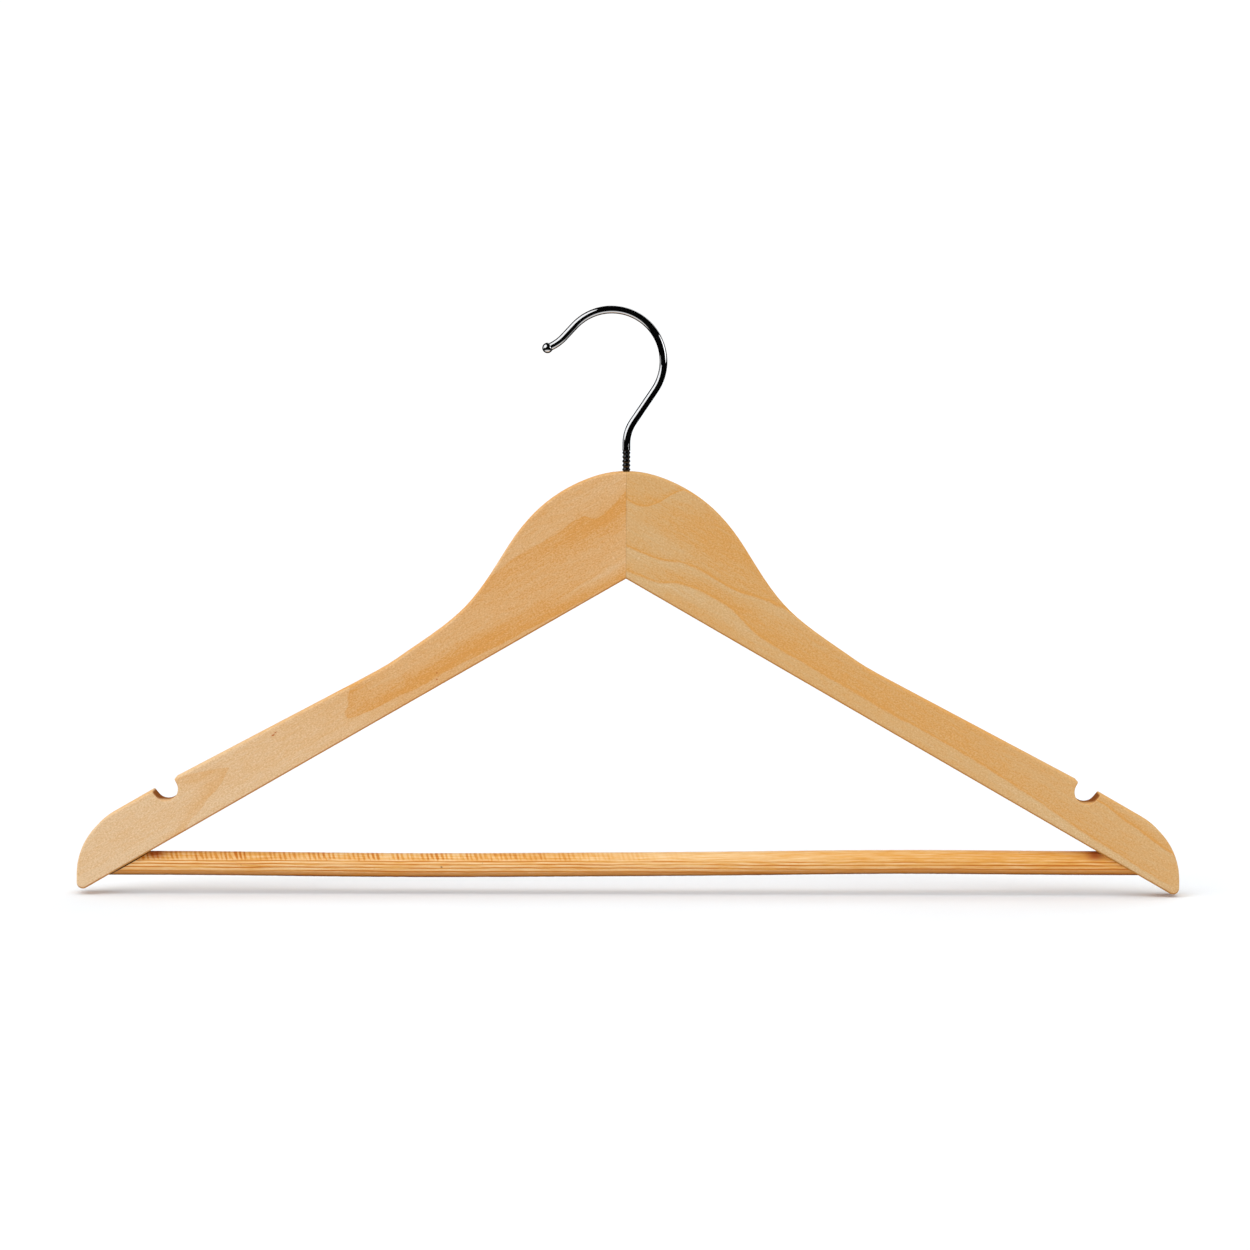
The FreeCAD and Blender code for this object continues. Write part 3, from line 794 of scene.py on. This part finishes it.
def hook_stations():
    """Rings from the shank's point to the ball, as (place, heading, radius), and its far side."""
    lean = math.radians(HOOK_LEAN)
    corner_drop = (HOOK_RADIUS + HOOK_CENTRE_X * math.cos(lean)) / math.sin(lean)
    seat_radius = HOOK_RADIUS - WIRE_RADIUS
    centre_z = -math.sqrt(seat_radius ** 2 - HOOK_CENTRE_X ** 2)
    corner = Vector((0.0, centre_z - corner_drop))
    arc_start = Vector((HOOK_CENTRE_X, centre_z)) + towards(-lean) * HOOK_RADIUS
    bend_reach = NECK_BEND_RADIUS * math.tan(lean / 2.0)
    neck_straight = (arc_start - corner).length - bend_reach

    # each run is (length or turn in degrees, bend radius), and a radius of none is straight
    runs = [
        (-HOOK_LEAN, NECK_BEND_RADIUS),
        (neck_straight, None),
        (90.0 + TIP_HEADING + HOOK_LEAN, HOOK_RADIUS),
        (TIP_STRAIGHT, None),
        (-TIP_BEND_ANGLE, TIP_BEND_RADIUS),
    ]
    stations = [(Vector((0.0, z)), UPWARDS, radius) for z, radius in shank_section()]
    place = Vector((0.0, corner.y - bend_reach))
    heading = UPWARDS
    stations.append((place, heading, WIRE_RADIUS))
    for amount, bend_radius in runs:
        if bend_radius is None:
            steps = STRAIGHT_STEPS
            turn = 0.0
            step = amount / steps
        else:
            steps = int(abs(amount))
            turn = math.radians(amount) / steps
            step = 2.0 * bend_radius * math.sin(abs(turn) / 2.0)
        for _ in range(steps):
            heading += turn / 2.0
            place = place + towards(heading) * step
            heading += turn / 2.0
            stations.append((place, heading, WIRE_RADIUS))

    # the ball swells from the wire round the end of the centre line
    ahead = towards(heading)
    meets = math.sqrt(BALL_RADIUS ** 2 - WIRE_RADIUS ** 2)
    stations = [s for s in stations if (s[0] - place).length > meets + SAME_PLACE]
    first_angle = math.pi - math.asin(WIRE_RADIUS / BALL_RADIUS)
    for index in range(BALL_STEPS):
        angle = first_angle - first_angle * index / BALL_STEPS
        ring_centre = place + ahead * BALL_RADIUS * math.cos(angle)
        stations.append((ring_centre, heading, BALL_RADIUS * math.sin(angle)))
    return stations, place + ahead * BALL_RADIUS


def smooth_hook(material):
    """The hook as one smooth closed surface in place of the CAD hook's coarser facets."""
    stations, far_end = hook_stations()
    points = []
    faces = []
    for place, heading, full_radius in stations:
        radius = full_radius - SKIN_INSET
        for side in range(RING_SIDES):
            angle = 2.0 * math.pi * side / RING_SIDES
            across = radius * math.cos(angle)
            points.append((place.x - math.sin(heading) * across, radius * math.sin(angle),
                           place.y + math.cos(heading) * across))
    for ring in range(len(stations) - 1):
        for side in range(RING_SIDES):
            a = ring * RING_SIDES + side
            b = ring * RING_SIDES + (side + 1) % RING_SIDES
            faces.append((a, b, b + RING_SIDES, a + RING_SIDES))

    # both ends close in a fan round one point
    near_point = len(points)
    far_point = near_point + 1
    last_ring = (len(stations) - 1) * RING_SIDES
    points.append((stations[0][0].x, 0.0, stations[0][0].y))
    points.append((far_end.x, 0.0, far_end.y))
    for side in range(RING_SIDES):
        after = (side + 1) % RING_SIDES
        faces.append((near_point, after, side))
        faces.append((far_point, last_ring + side, last_ring + after))

    mesh = bpy.data.meshes.new("hook_surface")
    mesh.from_pydata(points, [], faces)
    mesh.materials.append(material)
    mesh.shade_smooth()
    hook = bpy.data.objects.new("hook_surface", mesh)
    bpy.context.scene.collection.objects.link(hook)
    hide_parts("hook")
    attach(hook, "hook")


# ---- Studio ----
def floor():
    """Pale floor just below the tips, hidden from reflections."""
    paint = Paint("floor_finish")
    mottle = paint.noise(paint.place(), scale=MOTTLE_SCALE, detail=3.0)
    shade = paint.mix(mottle, colour(FLOOR), colour(FLOOR_MOTTLE))
    material = paint.finish(Base_Color=shade, Roughness=FLOOR_ROUGHNESS, Specular_IOR_Level=0.0)
    level = LOWEST_Z - FLOOR_DROP
    corners = [(-FLOOR_SIDE, FLOOR_FRONT, level), (FLOOR_SIDE, FLOOR_FRONT, level),
               (FLOOR_SIDE, FLOOR_BACK, level), (-FLOOR_SIDE, FLOOR_BACK, level)]
    mesh = bpy.data.meshes.new("floor")
    mesh.from_pydata(corners, [], [(0, 1, 2, 3)])
    mesh.materials.append(material)
    plane = bpy.data.objects.new("floor", mesh)
    bpy.context.scene.collection.objects.link(plane)
    plane.visible_glossy = False


def soft_sun(name, azimuth, elevation, angle, strength, mirrored):
    """Distant soft light."""
    light = bpy.data.lights.new(name, "SUN")
    light.energy = strength
    light.angle = math.radians(angle)
    lamp = bpy.data.objects.new(name, light)
    a = math.radians(azimuth)
    e = math.radians(elevation)
    source = Vector((math.sin(a) * math.cos(e), -math.cos(a) * math.cos(e), math.sin(e)))
    lamp.rotation_euler = source.to_track_quat("Z", "Y").to_euler()
    lamp.visible_glossy = mirrored
    bpy.context.scene.collection.objects.link(lamp)


def studio():
    """White surround to look at, an even fill, and a dark room for reflections."""
    world = bpy.data.worlds.new("studio")
    world.use_nodes = True
    world.node_tree.nodes.clear()
    sky = Nodes(world.node_tree)
    _, y, z = sky.parts(sky.place("Generated"))
    low = sky.smooth_map(z, *PATCH_TOP, PATCH_STRENGTH, ROOM_STRENGTH)
    room_light = sky.times(low, sky.fall(y, *PATCH_BACK))
    plain = (1.0, 1.0, 1.0, 1.0)
    surround = sky.node("Background", {"Color": plain, "Strength": SURROUND_STRENGTH})
    fill = sky.node("Background", {"Color": plain, "Strength": FILL_STRENGTH})
    room = sky.node("Background", {"Color": plain, "Strength": room_light})
    for_camera = sky.node("LightPath", {}, output="Is Camera Ray")
    for_mirrors = sky.node("LightPath", {}, output="Is Glossy Ray")
    lit = sky.node("MixShader", {0: for_mirrors, 1: fill, 2: room})
    seen = sky.node("MixShader", {0: for_camera, 1: lit, 2: surround})
    world_output = world.node_tree.nodes.new("ShaderNodeOutputWorld")
    sky.put(world_output.inputs["Surface"], seen)
    bpy.context.scene.world = world
    for sun in SUNS:
        soft_sun(*sun)


def camera():
    """Front camera, a little above the hanger, at the photo's viewing angle."""
    lens = bpy.data.cameras.new("camera")
    lens.sensor_fit = "HORIZONTAL"
    lens.sensor_width = SENSOR_WIDTH
    lens.lens = SENSOR_WIDTH * CAMERA_DISTANCE / VIEW_WIDTH
    lens.clip_start = NEAREST_SEEN
    lens.clip_end = FARTHEST_SEEN
    body = bpy.data.objects.new("camera", lens)
    e = math.radians(CAMERA_ELEVATION)
    away = Vector((0.0, -math.cos(e), math.sin(e)))
    turn = away.to_track_quat("Z", "Y").to_matrix().to_4x4()
    roll = Matrix.Rotation(math.radians(CAMERA_ROLL), 4, "Z")
    body.matrix_world = Matrix.Translation(AIM + away * CAMERA_DISTANCE) @ turn @ roll
    bpy.context.scene.collection.objects.link(body)
    bpy.context.scene.camera = body


cover("left_arm", arm_wood("left_arm_finish", -1, LEFT_FIGURE))
cover("right_arm", arm_wood("right_arm_finish", 1, RIGHT_FIGURE))
cover("trouser_bar", bar_wood())
HOOK_CHROME = chrome()
cover("hook", HOOK_CHROME)
smooth_hook(HOOK_CHROME)
NAIL_STEEL = steel()
cover("left_bar_nail", NAIL_STEEL)
cover("right_bar_nail", NAIL_STEEL)

floor()
studio()
camera()
bpy.context.scene.view_settings.view_transform = "Standard"
